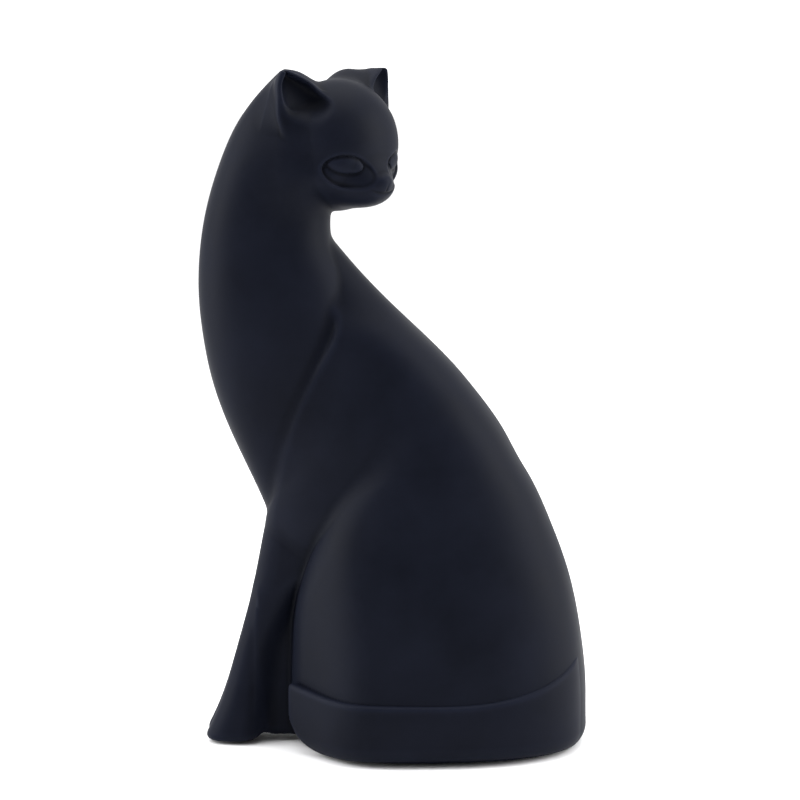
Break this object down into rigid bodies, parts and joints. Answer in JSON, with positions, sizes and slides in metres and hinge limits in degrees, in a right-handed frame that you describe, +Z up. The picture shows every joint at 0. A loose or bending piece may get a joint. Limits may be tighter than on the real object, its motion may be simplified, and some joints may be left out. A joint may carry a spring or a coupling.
{
  "type": "ceramic cat figurine",
  "caption": "Seated ceramic cat figurine looking back over its shoulder, a hollow slip-cast ornament that stands on felt pads.",
  "frame": {"origin": "middle of the figure's box on the surface it stands on, under the felt pads", "axes": "+Z up, the cat's chest towards -X and its back towards +X, its left side and its face towards -Y"},
  "size_m": [0.1388, 0.0938, 0.241],
  "materials": {
    "figure_ceramic": "satin blue-black glaze",
    "base_ceramic": "satin blue-black glaze, wiped thin",
    "felt": "dark pressed felt"
  },
  "bodies": {
    "root": {"head_casting": "figure_ceramic", "body_casting": "figure_ceramic", "tail_casting": "figure_ceramic", "base_disc": "base_ceramic", "pad_paws": "felt", "pad_left": "felt", "pad_right": "felt", "pad_rear": "felt"}
  },
  "joints": []
}
